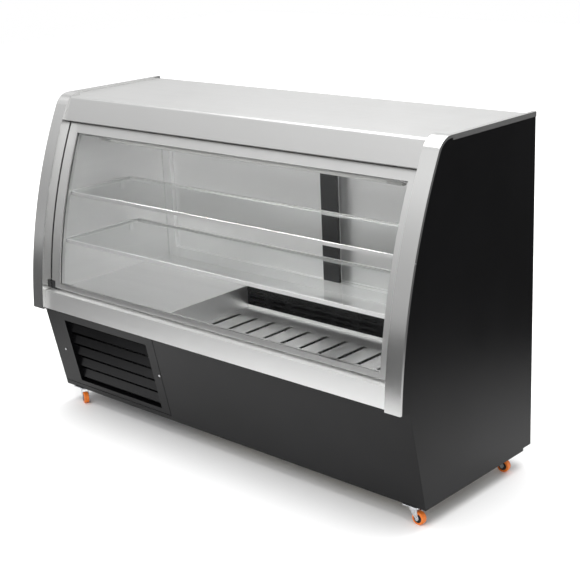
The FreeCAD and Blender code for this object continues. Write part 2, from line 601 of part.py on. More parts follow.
def foam_panels():
    """Blocks of insulation: two sides, ceiling, floor, riser, well and sill."""
    sides = []
    for sign, foot_z in ((1, WELL_FOAM_Z), (-1, FLOOR_Z - SHEET - FOAM)):
        outer = side_region(HX - TRIM_FACE + TRIM + FIT, PANEL_X, TRIM_WRAP + FIT, foot_z)
        inner = side_region(LINER_X + SHEET, HX - TRIM_FACE + TRIM + FIT, TRIM_RETURN + FIT, foot_z)
        keep = box(0, HX, -HY, REAR_SKIN - SHEET - FIT, foot_z, TOP_Z - SHEET)
        kick = plate_on_kick(0, HX, SKIRT, PANEL_HEAD, front=60.0, thick=60.0 + SHEET + FIT)
        block = drill(fuse([outer, inner]).common(keep).cut(kick), SCREWS)
        sides.append(block if sign > 0 else mirror_x(block))
    x = LINER_X
    ceiling = box(-x, x, HOOD_Y + 2 * FIT, HY - SHEET - FIT, CEILING_Z + SHEET, TOP_Z - SHEET)
    riser_x = RISER_X - SHEET
    floor = box(-x, riser_x - FOAM, -LINER_FRONT, JAMB_Y, FLOOR_Z - SHEET - FOAM, FLOOR_Z - SHEET)
    riser = box(riser_x - FOAM, riser_x, -LINER_FRONT + 40.0, JAMB_Y, WELL_FOAM_Z, FLOOR_Z - SHEET)
    drain_hole = rod((*DRAIN, WELL_FOAM_Z - 20), (*DRAIN, WELL_FOOT + 20), DRAIN_R + 0.5)
    well = box(riser_x, x, -LINER_FRONT + 40.0, JAMB_Y, WELL_FOAM_Z, WELL_FOOT - SHEET).cut(drain_hole)
    sill = box(-x, x, curve_y(SILL_TOP, SILL_INSET) + 3 * SHEET, -LINER_FRONT,
               TRIM_FOOT + 2 * SHEET, SILL_TOP - SHEET)
    return sides + [ceiling, floor, riser, well, sill]


# ---------------------------------------------------------------- ceiling and light header
FRAME_CORNER = on_arc(tilt_at(FRAME_TOP, FRAME_INSET), FRAME_BACK)
HEADER_Y = FRAME_CORNER[0] + 5.4         # the header clears the glass frame's back
HEADER_Z = FRAME_CORNER[1] - HEADER_DROP
LAMP_HALF = HX - LAMP_END


def ceiling_liner():
    return box(-LINER_X, LINER_X, HEADER_Y, JAMB_Y, CEILING_Z, CEILING_Z + SHEET)


def light_header():
    y0, y1 = HEADER_Y, HEADER_Y + HEADER_DEEP
    front = box(-LINER_X, LINER_X, y0, y0 + SHEET, HEADER_Z, CEILING_Z)
    rear = box(-LINER_X, LINER_X, y1 - SHEET, y1, HEADER_Z, CEILING_Z)
    foot = box(-LINER_X, LINER_X, y0, y1, HEADER_Z, HEADER_Z + SHEET)
    return fuse([front, rear, foot])


def lamp_bar(x0, x1, shrink):
    """A bar with a rounded underside, hanging from the header."""
    middle = HEADER_Y + HEADER_DEEP / 2
    half = LAMP_W / 2 - shrink
    bar = box(x0, x1, middle - half, middle + half, HEADER_Z - LAMP_H + shrink, HEADER_Z)
    low = [e for e in bar.Edges if e.BoundBox.ZMax < HEADER_Z - 5 and e.BoundBox.XLength > 10]
    return bar.makeFillet(6.0, low)


# ---------------------------------------------------------------- tilting glass front
LOW_TILT = tilt_at(HINGE_Z - 13.0, MID_INSET)
HIGH_TILT = tilt_at(FRAME_TOP, FRAME_INSET)
WINDOW_LOW = LOW_TILT + RAIL_LOW / FRONT_R
WINDOW_HIGH = HIGH_TILT - RAIL_HIGH / FRONT_R
WINDOW_X = FRAME_X - STILE
BLOCK_X = FRAME_X - BLOCK_IN             # inner face of a hinge block
PIN_IN = STILE - BLOCK_IN - GROOVE - PIN_SHORT     # how far its pin enters the bottom rail
BLOCK_HALF = 11.0
BLOCK_ROOM = 16.5                        # clear height over the hinge axis
GLASS_INSET = FRAME_INSET + 5.0


def glass_frame():
    ring = arc_band(-FRAME_X, FRAME_X, FRAME_INSET, FRAME_BACK, LOW_TILT, HIGH_TILT)
    window = arc_band(-WINDOW_X, WINDOW_X, FRAME_INSET - 9, FRAME_BACK + 9, WINDOW_LOW, WINDOW_HIGH)
    x, extra = WINDOW_X + GROOVE, GROOVE / FRONT_R
    groove = arc_band(-x, x, GLASS_INSET - FIT, GLASS_INSET + GLASS + FIT,
                      WINDOW_LOW - extra, WINDOW_HIGH + extra)
    ring = ring.cut(window).cut(groove)
    for side in (-1, 1):
        near, far = side * (BLOCK_X - 1.5), side * (FRAME_X + 5)
        ring = ring.cut(box(min(near, far), max(near, far), HINGE_Y - 60, HINGE_Y + 60,
                            HINGE_Z - 60, HINGE_Z + BLOCK_ROOM))
        ring = ring.cut(rod((side * BLOCK_X, HINGE_Y, HINGE_Z),
                            (side * (BLOCK_X - PIN_IN - 1.5), HINGE_Y, HINGE_Z), HINGE_R + RUNNING))
    return ring


def front_glass():
    extra = (GROOVE - FIT) / FRONT_R
    x = WINDOW_X + GROOVE - FIT
    return arc_band(-x, x, GLASS_INSET, GLASS_INSET + GLASS, WINDOW_LOW - extra, WINDOW_HIGH + extra)


def glass_gasket():
    """Side strips against the trim returns and a strip behind the top rail."""
    low = tilt_at(HINGE_Z + BLOCK_ROOM + 4.0, MID_INSET)
    side = arc_band(FRAME_X, FRAME_X + GASKET, FRAME_INSET + 3, FRAME_BACK - 2, low, HIGH_TILT - 2 / FRONT_R)
    top = arc_band(6.0 - LINER_X, LINER_X - 6.0, FRAME_BACK + 0.2, FRAME_BACK + 6.0,
                   HIGH_TILT - 25 / FRONT_R, HIGH_TILT - 4 / FRONT_R)
    return [side, mirror_x(side), top]


def glass_hinge_block():
    """Block on the sill's ledge with the pin that the bottom rail turns on."""
    x1 = FRAME_X + 3.0
    block = box(BLOCK_X, x1, HINGE_Y - BLOCK_HALF, HINGE_Y + BLOCK_HALF, SILL_TOP, HINGE_Z + BLOCK_HALF)
    return block.fuse(rod((x1 - 4.0, HINGE_Y, HINGE_Z), (BLOCK_X - PIN_IN, HINGE_Y, HINGE_Z), HINGE_R))


# ---------------------------------------------------------------- shelves
SHELF_X = LINER_X - SHELF_END


def shelf_rails(top, front, rear):
    """Front and rear rails over the whole length, and two end rails between them."""
    low, high, rail = top - SHELF_RAIL + 1.0, top + 1.0, SHELF_RAIL
    seat = rail - SHELF_SEAT
    pocket = box(-SHELF_X + seat, SHELF_X - seat, front + seat, rear - seat, top - GLASS, high + 5)
    bars = [box(-SHELF_X, SHELF_X, y, y + rail, low, high) for y in (front, rear - rail)]
    bars += [box(x, x + rail, front + rail, rear - rail, low, high) for x in (-SHELF_X, SHELF_X - rail)]
    return [bar.cut(pocket) for bar in bars]


def shelf_glass(top, front, rear):
    edge = SHELF_RAIL - SHELF_SEAT + FIT
    return box(-SHELF_X + edge, SHELF_X - edge, front + edge, rear - edge, top - GLASS, top)


SHELF_PLACES = {name: (FLOOR_Z + share * (HEADER_Z - FLOOR_Z), front - LINER_FRONT, REAR_Y - rear)
                for name, (share, front, rear) in SHELVES.items()}


def shelf_brackets():
    """Angle brackets on the side liners, two for each end of a shelf."""
    solids = []
    for top, front, rear in SHELF_PLACES.values():
        seat = top - SHELF_RAIL + 1.0
        for y in (front + 8.0, rear - 28.0):
            arm = box(SHELF_X - 16.0, LINER_X, y, y + 20.0, seat - 3.0, seat)
            leg = box(LINER_X - 3.0, LINER_X, y, y + 20.0, seat - 42.0, seat)
            bracket = fuse([arm, leg])
            solids += [bracket, mirror_x(bracket)]
    return solids


# ---------------------------------------------------------------- base and casters
FRAME_Y = (-KICK_FOOT_Y + 4.0, HY - NOTCH[0] - 2.0)      # front and rear of the base frame
BASE_X = PANEL_X
MID_TUBES = (MACHINE_X - 10.0, MACHINE_X + 630.0)


def tube_bar(x0, x1, y0, y1, z0, z1):
    """A square tube along its longest side."""
    size = (x1 - x0, y1 - y0, z1 - z0)
    axis = size.index(max(size))
    low, high = [x0, y0, z0], [x1, y1, z1]
    for i in range(3):
        if i != axis:
            low[i] += TUBE_WALL
            high[i] -= TUBE_WALL
    core = box(low[0], high[0], low[1], high[1], low[2], high[2])
    return box(x0, x1, y0, y1, z0, z1).cut(core)


def base_frame():
    (y0, y1), z0, z1 = FRAME_Y, SKIRT, SKIRT + TUBE
    bars = [tube_bar(-BASE_X, BASE_X, y, y + TUBE, z0, z1) for y in (y0, y1 - TUBE)]
    for x in (-BASE_X, MID_TUBES[0] - TUBE / 2, MID_TUBES[1] - TUBE / 2, BASE_X - TUBE):
        bars.append(tube_bar(x, x + TUBE, y0 + TUBE, y1 - TUBE, z0, z1))
    uprights = [(-BASE_X, FLOOR_Z - SHEET - FOAM), (RISER_X - SHEET - POST, WELL_FOAM_Z),
                (MID_TUBES[1] - POST / 2, WELL_FOAM_Z), (BASE_X - POST, WELL_FOAM_Z)]
    for x, top in uprights:
        for y in (y0, y1 - POST):
            bars.append(tube_bar(x, x + POST, y, y + POST, z1, top))
    return bars


CASTER_X = HX - CASTER_IN[0]
CASTER_Y = (-KICK_FOOT_Y + CASTER_IN[1], FRAME_Y[1] - CASTER_IN[2])
CASTERS = {                              # swivel axis and the way each caster trails, in degrees
    "front_left": (-CASTER_X + 12.0, CASTER_Y[0], -26.0),
    "front_right": (CASTER_X, CASTER_Y[0], 0.0),
    "rear_left": (-CASTER_X, CASTER_Y[1], 140.0),
    "rear_right": (CASTER_X, CASTER_Y[1], 4.0),
}
CUP_Z = SKIRT - CASTER_PLATE[1] - CUP_DEEP
FORK_TOP = CUP_Z - FIT


def caster_plate(x, y):
    width, thick = CASTER_PLATE
    plate = box(x - width / 2, x + width / 2, y - width / 2, y + width / 2, SKIRT - thick, SKIRT)
    cup = rod((x, y, CUP_Z), (x, y, SKIRT - thick), CUP_R)
    bore = rod((x, y, CUP_Z - 1), (x, y, SKIRT - thick - 1.0), KINGPIN_R + RUNNING)
    for dx in (-1, 1):
        for dy in (-1, 1):
            hole = (x + dx * (width / 2 - 8.0), y + dy * (width / 2 - 8.0))
            plate = plate.cut(rod((*hole, SKIRT - 10), (*hole, SKIRT + 5), 3.5))
    return fuse([plate, cup]).cut(bore)


def placed(shape, name):
    x, y, turn = CASTERS[name]
    shape = shape.copy()
    shape.rotate(V(0, 0, 0), V(0, 0, 1), turn)
    shape.translate(V(x, y, 0))
    return shape


def caster_fork(name):
    """Sheet fork with its kingpin and riveted axle, trailing along +X before it is placed."""
    radius, side, thick = WHEEL_D / 2, WHEEL_W / 2 + 1.5, 2.5
    crown = rod((0, 0, FORK_TOP - 3.5), (0, 0, FORK_TOP), 19.0)
    bridge = box(-12.0, 16.0, -side - thick, side + thick, FORK_TOP - 3.5, FORK_TOP)
    kingpin = rod((0, 0, FORK_TOP - 1), (0, 0, SKIRT - CASTER_PLATE[1] - 1.5), KINGPIN_R)
    outline = [(-12.0, FORK_TOP), (-12.0, FORK_TOP - 8.0), (CASTER_TRAIL - 8.0, radius),
               (CASTER_TRAIL, radius - 8.0), (CASTER_TRAIL + 8.0, radius), (16.0, FORK_TOP)]
    legs = []
    for y in (-side - thick, side):
        wire = Part.makePolygon([V(x, y, z) for x, z in outline + outline[:1]])
        legs.append(Part.Face(wire).extrude(V(0, thick, 0)))
    out = side + thick
    axle = rod((CASTER_TRAIL, -out - 2.5, radius), (CASTER_TRAIL, out + 2.5, radius), AXLE_R)
    heads = [rod((CASTER_TRAIL, y, radius), (CASTER_TRAIL, y + 2.5, radius), 6.5) for y in (-out - 2.5, out)]
    return placed(fuse([crown, bridge, kingpin, axle] + legs + heads), name)


def caster_wheel(name):
    """Wheel with a dished hub, bored for the axle."""
    radius, half = WHEEL_D / 2, WHEEL_W / 2
    x, z = CASTER_TRAIL, radius
    tread = rod((x, -half, z), (x, half, z), radius)
    rims = [e for e in tread.Edges if e.BoundBox.YLength < 0.1]
    tread = tread.makeFillet(3.5, rims)
    dish = [rod((x, y, z), (x, y + 4.0, z), 15.0) for y in (-half, half - 4.0)]
    boss = rod((x, -half + 0.5, z), (x, half - 0.5, z), 8.0)
    bore = rod((x, -half - 5, z), (x, half + 5, z), AXLE_R + RUNNING)
    return placed(fuse([tread.cut(Part.makeCompound(dish)), boss]).cut(bore), name)


# ---------------------------------------------------------------- cold side
COIL = (RISER_X + 120.0, LINER_X - 70.0, JAMB_Y - 232.0, JAMB_Y - 82.0,
        WELL_FOOT + 10.0, WELL_Z - 20.0)                 # evaporator: x, y and z limits
FAN_X = (RISER_X + 430.0, LINER_X - 280.0)
FAN_Y = COIL[2] - 70.0
FAN_SHAFT_R = 3.0


def finned_block(x0, x1, y0, y1, z0, z1, pitch, depth):
    """A finned block between two end plates, with fins across x."""
    core = box(x0 + 3, x1 - 3, y0 + depth, y1 - depth, z0 + 4, z1 - 4)
    fins = []
    count = int((x1 - x0 - 12) / pitch)
    for i in range(count + 1):
        x = x0 + 6 + i * (x1 - x0 - 12) / count
        fins.append(box(x - 0.8, x + 0.8, y0, y1, z0 + 4, z1 - 4))
    ends = [box(x, x + 3, y0 - 4, y1 + 4, z0, z1) for x in (x0, x1 - 3)]
    return fuse([core] + fins + ends)


def evaporator_coil():
    x0, x1, y0, y1, z0, z1 = COIL
    block = finned_block(x0, x1, y0, y1, z0, z1, 40.0, 12.0)
    feet = [box(x, x + 30, y0 + 10, y1 - 10, WELL_FOOT, z0 + 4) for x in (x0 + 3, x1 - 33)]
    return fuse([block] + feet)


def fan_housing(x):
    """Square fan frame with its motor held on three struts."""
    half, z0 = EVAP_FAN / 2, WELL_FOOT
    middle = z0 + half
    frame = box(x - half, x + half, FAN_Y, FAN_Y + FAN_DEEP, z0, z0 + EVAP_FAN)
    frame = frame.cut(rod((x, FAN_Y - 5, middle), (x, FAN_Y + FAN_DEEP + 5, middle), FAN_BORE))
    rear = FAN_Y + FAN_DEEP
    motor = rod((x, rear - 16, middle), (x, rear, middle), 22.0)
    struts = []
    for i in range(3):
        turn = math.radians(90 + 120 * i)
        start = V(x + 18 * math.cos(turn), rear - 3, middle + 18 * math.sin(turn))
        strut = Part.makeBox(FAN_BORE - 14, 6, 3, V(0, -3, 0))
        strut.rotate(V(0, 0, 0), V(1, 0, 0), 90)
        strut.rotate(V(0, 0, 0), V(0, 1, 0), -math.degrees(turn))
        strut.translate(start)
        struts.append(strut)
    bore = rod((x, rear - 20, middle), (x, rear - 4, middle), FAN_SHAFT_R + RUNNING)
    return fuse([frame, motor] + struts).cut(bore)


def fan_blade(centre, hub_r, hub_long, tip_r, blades, shaft_r, shaft_long, twist, chord):
    """Hub, twisted blades and a shaft that runs back along +Y."""
    hub = Part.makeCylinder(hub_r, hub_long, V(0, 0, 0), V(0, 1, 0))
    shaft = Part.makeCylinder(shaft_r, shaft_long + 1, V(0, hub_long - 1, 0), V(0, 1, 0))
    pieces = [hub, shaft]
    for i in range(blades):
        blade = Part.makeBox(tip_r - hub_r + 3, 1.8, chord, V(hub_r - 3, -0.9, -chord / 2))
        blade.rotate(V(0, 0, 0), V(1, 0, 0), twist)
        blade.translate(V(0, hub_long / 2, 0))
        blade.rotate(V(0, 0, 0), V(0, 1, 0), 360.0 * i / blades)
        pieces.append(blade)
    whole = fuse(pieces)
    rim = Part.makeCylinder(tip_r, hub_long + shaft_long + 80, V(0, -40, 0), V(0, 1, 0))
    whole = whole.common(rim)
    whole.translate(V(*centre))
    return whole


def evaporator_fan(x):
    middle = WELL_FOOT + EVAP_FAN / 2
    return fan_blade((x, FAN_Y + 4.0, middle), 23.0, 16.0, FAN_BORE - 3, 7, FAN_SHAFT_R, 12.0, 55.0, 20.0)


def drain_pipe():
    """Outlet pipe of the well, with a flange on its floor."""
    x, y = DRAIN
    outside = rod((x, y, SKIRT + 20.0), (x, y, WELL_FOOT + 1.0), DRAIN_R)
    flange = rod((x, y, WELL_FOOT), (x, y, WELL_FOOT + 2.0), DRAIN_R + 9.0)
    bore = rod((x, y, SKIRT - 20.0), (x, y, WELL_FOOT + 20.0), DRAIN_R - 2.5)
    return fuse([outside, flange]).cut(bore)


# ---------------------------------------------------------------- machine compartment
BASE_PLATE = (70.0 - HX, MACHINE_X - 45.0, FRAME_Y[0] + 37.0, FRAME_Y[1] - 43.0)     # x and y limits
PLATE_Z = SKIRT + TUBE
CONDENSER = (150.0 - HX, MACHINE_X - 200.0, FRAME_Y[0] + 50.0, FRAME_Y[0] + 94.0,
             PLATE_Z + 3.0, PLATE_Z + 283.0)             # x, y and z limits
COND_FAN = ((CONDENSER[0] + CONDENSER[1]) / 2, CONDENSER[3] + 28.0, PLATE_Z + 143.0)
COND_SHAFT_R = 4.0
COMPRESSOR = (MACHINE_X - 260.0, FRAME_Y[1] - 228.0, 88.0, 190.0)     # x, y, radius, height of the shell


def unit_base_plate():
    """Plate under the machinery on two bearers between the frame's tubes."""
    x0, x1, y0, y1 = BASE_PLATE
    plate = box(x0, x1, y0, y1, PLATE_Z, PLATE_Z + 3.0)
    bearers = [box(-BASE_X + TUBE, MID_TUBES[0] - TUBE / 2, y, y + 30, PLATE_Z - 20, PLATE_Z)
               for y in (y0 + 20, y1 - 50)]
    return [plate] + bearers


def condenser_coil():
    x0, x1, y0, y1, z0, z1 = CONDENSER
    return finned_block(x0, x1, y0, y1, z0, z1, 16.0, 8.0)


def condenser_fan_motor():
    """Motor on a bracket behind the condenser."""
    x, y, z = COND_FAN
    front = y + 30.0
    motor = rod((x, front, z), (x, front + 62, z), 40.0)
    leg = box(x - 16, x + 16, front + 20, front + 26, PLATE_Z + 3.0, z - 30)
    foot = box(x - 45, x + 45, front + 20, front + 60, PLATE_Z + 3.0, PLATE_Z + 6.0)
    return fuse([motor, leg, foot]).cut(rod((x, front - 5, z), (x, front + 30, z), COND_SHAFT_R + RUNNING))


def condenser_fan():
    x, y, z = COND_FAN
    return fan_blade((x, y - 10.0, z), 24.0, 26.0, COND_FAN_R, 5, COND_SHAFT_R, 34.0, 62.0, 40.0)


def compressor():
    """Hermetic shell on feet, with its terminal box and two stubs."""
    x, y, radius, height = COMPRESSOR
    z = PLATE_Z + 3.0
    shell = rod((x, y, z + 22), (x, y, z + 22 + height), radius)
    shell = shell.makeFillet(radius * 0.42, [e for e in shell.Edges if e.BoundBox.ZLength < 0.1])
    foot = box(x - radius - 14, x + radius + 14, y - 62, y + 62, z + 14, z + 26)
    pads = [rod((x + sx * (radius + 2), y + sy * 50, z), (x + sx * (radius + 2), y + sy * 50, z + 15), 11.0)
            for sx in (-1, 1) for sy in (-1, 1)]
    box_z = z + 22 + height * 0.55
    terminals = box(x + radius - 18, x + radius + 34, y - 34, y + 34, box_z - 38, box_z + 38)
    stub = rod((x, y, z + height), (x, y, z + 22 + height + 18), 7.0)
    return fuse([shell, foot, terminals, stub] + pads)


def pipe_run(points, radius):
    """Copper pipe through these points, with a round elbow at each turn."""
    pieces = [rod(a, b, radius) for a, b in zip(points, points[1:])]
    pieces += [Part.makeSphere(radius * 1.25, V(*p)) for p in points[1:-1]]
    return fuse(pieces)


def refrigerant_lines():
    """Discharge line to the condenser, and the line that goes through the riser to the evaporator."""
    x, y, radius, height = COMPRESSOR
    top = PLATE_Z + 3.0 + 22 + height + 18
    rear = FRAME_Y[1] - 68.0
    suction = [(x, y, top), (x, y, top + 30), (x, rear, top + 30),
               (RISER_X - SHEET - FOAM - 20.0, rear, top + 30)]
    x0, x1, y0, y1, z0, z1 = CONDENSER
    discharge = [(x0 - 5, y1 - 20, z1 - 30), (x0 - 35, y1 - 20, z1 - 30), (x0 - 35, y, z1 - 30),
                 (x0 - 35, y, PLATE_Z + 60), (x - radius, y, PLATE_Z + 60)]
    return [pipe_run(suction, 6.0), pipe_run(discharge, 5.0)]


# ---------------------------------------------------------------- build
def build():
    panel, trim = drill(side_panel(), SCREWS), drill(front_trim(), SCREWS)
    edge = top_edge_trim()
    holder = lamp_bar(LAMP_HALF, LAMP_HALF + HOLDER, -1.0)
    block = glass_hinge_block()
    nodes = {
        "base_frame": base_frame(),
        "caster_plates": [caster_plate(x, y) for x, y, turn in CASTERS.values()],
        "side_panel_left": mirror_x(panel), "side_panel_right": panel,
        "front_trim_left": mirror_x(trim), "front_trim_right": trim,
        "top_edge_trims": [edge, mirror_x(edge)],
        "top_sheet": top_sheet(), "hood_fascia": hood_fascia(),
        "ceiling_liner": ceiling_liner(), "light_header": light_header(),
        "lamp_diffuser": lamp_bar(-LAMP_HALF, LAMP_HALF, 0.0), "lamp_holders": [holder, mirror_x(holder)],
        "sill_fascia": sill_fascia(), "kick_panel": kick_panel(), "grille_panel": grille_panel(),
        "panel_screws": panel_screws(), "rear_panel": rear_panel(),
        "liner_left": mirror_x(side_liner(FLOOR_Z - SHEET)), "liner_right": side_liner(WELL_FOOT - SHEET),
        "machine_deck": machine_deck(), "well_tub": well_tub(), "slotted_deck": slotted_deck(),
        "rear_ledge": rear_ledge(), "evaporator_guard": evaporator_guard(), "foam_panels": foam_panels(),
        "shelf_brackets": shelf_brackets(), "door_frame": door_frame(), "centre_post": centre_post(),
        "glass_hinge_blocks": [block, mirror_x(block)],
        "evaporator_coil": evaporator_coil(), "evaporator_fan_housings": [fan_housing(x) for x in FAN_X],
        "condenser_coil": condenser_coil(), "condenser_fan_motor": condenser_fan_motor(),
        "compressor": compressor(), "unit_base_plate": unit_base_plate(),
        "refrigerant_lines": refrigerant_lines(), "control_box": control_box(),
        "drain_pipe": drain_pipe(), "cord_gland": cord_gland(),
        "glass_frame": glass_frame(), "front_glass": front_glass(), "glass_gasket": glass_gasket(),
        "rear_door_left": rear_door(0, -DOOR_EDGE, POST_X + DOOR_LAP, PULL_IN - DOOR_EDGE),
        "rear_door_right": rear_door(1, POST_X - DOOR_LAP, DOOR_EDGE, DOOR_EDGE - PULL_IN),
        "evaporator_fan_left": evaporator_fan(FAN_X[0]), "evaporator_fan_right": evaporator_fan(FAN_X[1]),
        "condenser_fan": condenser_fan(),
    }
    for shelf, (top, front, rear) in SHELF_PLACES.items():
        nodes[shelf + "_glass"] = shelf_glass(top, front, rear)
        nodes[shelf + "_rails"] = shelf_rails(top, front, rear)
    for name in CASTERS:
        nodes["caster_fork_" + name] = caster_fork(name)
        nodes["caster_wheel_" + name] = caster_wheel(name)
    for name, shape in nodes.items():
        export(name, shape)
    print(len(nodes), "nodes")


build()
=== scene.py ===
import json
import math

import bmesh
import bpy
from bpy.props import FloatProperty, FloatVectorProperty, PointerProperty
from mathutils import Matrix, Vector


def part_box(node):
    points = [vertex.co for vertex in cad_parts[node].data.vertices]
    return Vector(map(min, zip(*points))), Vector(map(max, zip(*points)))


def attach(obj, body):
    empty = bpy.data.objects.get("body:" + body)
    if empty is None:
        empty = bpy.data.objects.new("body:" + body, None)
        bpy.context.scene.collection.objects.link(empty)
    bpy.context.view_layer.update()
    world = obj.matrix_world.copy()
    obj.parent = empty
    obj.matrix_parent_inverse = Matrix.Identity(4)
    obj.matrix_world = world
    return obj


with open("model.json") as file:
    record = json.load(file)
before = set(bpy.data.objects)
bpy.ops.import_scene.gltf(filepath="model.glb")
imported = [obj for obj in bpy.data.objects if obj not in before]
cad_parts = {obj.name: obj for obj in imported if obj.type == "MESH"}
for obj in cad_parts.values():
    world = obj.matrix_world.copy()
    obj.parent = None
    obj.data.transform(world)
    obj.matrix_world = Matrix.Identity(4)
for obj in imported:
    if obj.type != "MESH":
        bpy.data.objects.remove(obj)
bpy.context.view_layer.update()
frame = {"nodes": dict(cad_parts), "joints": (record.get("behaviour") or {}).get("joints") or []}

bl_info = {
    "name": "Refrigerated deli case",
    "version": (1, 0, 0),
    "blender": (4, 5, 0),
    "location": "3D View > Sidebar > Deli case",
    "description": "Finishes, small fittings and a studio for a curved-glass refrigerated deli case",
    "category": "Object",
}

CORNERS = ("front_left", "front_right", "rear_left", "rear_right")

# ---------------------------------------------------------------- fixed numbers, lengths in metres
CAMERA_SPOT = (3.35983, -3.40081, 2.13399)                      # from a perspective fit of the case's edges
CAMERA_YAW, CAMERA_PITCH, CAMERA_ROLL = 0.7567, 0.3064, -0.0450  # radians
SENSOR_WIDTH = 36.0                                             # millimetres
TOP_LIGHT = ((0.0, 0.5, 5.5), (0.0, 0.0, 0.0), (7.0, 7.0))      # place, target, size
FRONT_LIGHT = ((1.9, -5.5, 5.0), (0.0, 0.0, 0.8), (6.0, 3.0))
LAMP_GAP = 0.004                                                # from the lamp's cover to the light under it

# Ramps: the value that each starts and ends at, then what it gives there.
ROOM_DEPTH = (-0.75, 0.65, 0.56, 0.66)                          # the surround, from before the case to behind it
ROOM_HEIGHT = (0.02, 0.55, 0.0, 0.32)                           # brighter overhead
ROOM_CLOUDS = (0.35, 0.65, 0.72, 1.28)
ROOM_BELOW = (-0.25, 0.0, 0.35, 1.0)                            # darker under the horizon
FLOOR_FADE = (1.25, 2.4, 0.0, 1.0)                              # away from the case, to all rays but the camera's
FLOOR_GLOW = (1.4, 4.5, 0.0, 0.4)                               # away from the case, to the camera only
LAMP_ENDS = (0.60, 0.74, 1.0, 0.7)                              # the lamp is a little dimmer at its ends
DUST = (0.74, 0.82, 0.0, 0.10)

FLOOR_REACH = 14.0                                              # half the floor's width
FLOOR_DARK = (0.035, 0.035, 0.035)
DUST_COLOUR = (0.25, 0.25, 0.25)
HUB_COLOUR, HUB_RADIUS = (0.018, 0.018, 0.02), 0.0165
NOISE_LOW, NOISE_HIGH = 0.3, 0.7                                # the range that most of a noise lies in
GLASS_FACING, GLASS_GRAZING, GLASS_POWER = 0.008, 0.6, 5.0      # share mirrored face on, edge on, and its rise
SHARP_ANGLE = math.radians(50)                                  # edges sharper than this are rounded


# ---------------------------------------------------------------- sizes and colours that a user would change
def shade(name, description, colour):
    return FloatVectorProperty(name=name, description=description, subtype="COLOR", size=3,
                               min=0.0, max=1.0, default=colour)


def length(name, description, default):
    return FloatProperty(name=name, description=description, unit="LENGTH", min=0.0, default=default)


def factor(name, description, default, high=1.0):
    return FloatProperty(name=name, description=description, subtype="FACTOR", min=0.0, max=high, default=default)


class SteelSettings(bpy.types.PropertyGroup):
    """Stainless steel of the trims, hood and liner."""
    trim: shade("Trim steel", "Colour of the trims, the sill and the glass frame", (0.72, 0.72, 0.715))
    hood: shade("Hood steel", "Colour of the hood", (0.64, 0.64, 0.635))
    liner: shade("Liner steel", "Colour of the inner walls and floors", (0.86, 0.86, 0.86))
    trim_rough: factor("Trim roughness", "How much the trims blur what they reflect", 0.19)
    hood_rough: factor("Hood roughness", "How much the hood blurs what it reflects", 0.30)
    liner_rough: factor("Liner roughness", "How much the liner blurs what it reflects", 0.36)
    grain: length("Grain pitch", "Distance between brush lines", 0.0016)


class PaintSettings(bpy.types.PropertyGroup):
    """Paint, plastic and rubber."""
    panel: shade("Panel paint", "Colour of the side and kick panels", (0.0032, 0.0032, 0.0036))
    panel_rough: factor("Panel roughness", "How much the dark panels blur what they reflect", 0.24)
    wheel: shade("Tyre colour", "Colour of the caster tyres", (0.86, 0.20, 0.015))
    foam: shade("Foam colour", "Colour of the insulation", (0.78, 0.70, 0.50))


class FittingSettings(bpy.types.PropertyGroup):
    """Sealant and edge rounding, which the frame doesn't have."""
    bead: length("Sealant bead", "Radius of the sealant in the liner's corners", 0.0022)
    bevel: length("Edge rounding", "Rounding of sheet edges", 0.0006)


class StudioSettings(bpy.types.PropertyGroup):
    """Floor, lights and camera."""
    floor: shade("Floor", "Colour of the floor", (0.93, 0.93, 0.93))
    top_power: FloatProperty(name="Top light", description="Power of the wide light overhead", min=0.0, default=420.0)
    front_power: FloatProperty(name="Front light", description="Power of the wide light high before the case",
                               min=0.0, default=120.0)
    lamp_glow: FloatProperty(name="Lamp glow", description="Brightness of the lamp's cover", min=0.0, default=0.12)
    lamp_power: FloatProperty(name="Lamp power", description="Power of the light that the lamp casts", min=0.0,
                              default=2.8)
    lens: FloatProperty(name="Lens", description="Focal length of the camera in millimetres", min=1.0, default=77.85)


SETTINGS = {"deli_steel": SteelSettings, "deli_paint": PaintSettings,
            "deli_fittings": FittingSettings, "deli_studio": StudioSettings}


# ---------------------------------------------------------------- shader maths
class Wire:
    """An output socket that takes part in Python sums."""

    def __init__(self, finish, socket):
        self.finish, self.socket = finish, socket

    def sum(self, operation, first, second):
        return self.finish.node("ShaderNodeMath", {"operation": operation}, {0: first, 1: second})

    def __add__(self, other):
        return self.sum("ADD", self, other)

    def __sub__(self, other):
        return self.sum("SUBTRACT", self, other)

    def __rsub__(self, other):
        return self.sum("SUBTRACT", other, self)

    def __mul__(self, other):
        return self.sum("MULTIPLY", self, other)

    def __pow__(self, other):
        return self.sum("POWER", self, other)

    def __gt__(self, other):
        return self.sum("GREATER_THAN", self, other)

    __radd__ = __add__
    __rmul__ = __mul__


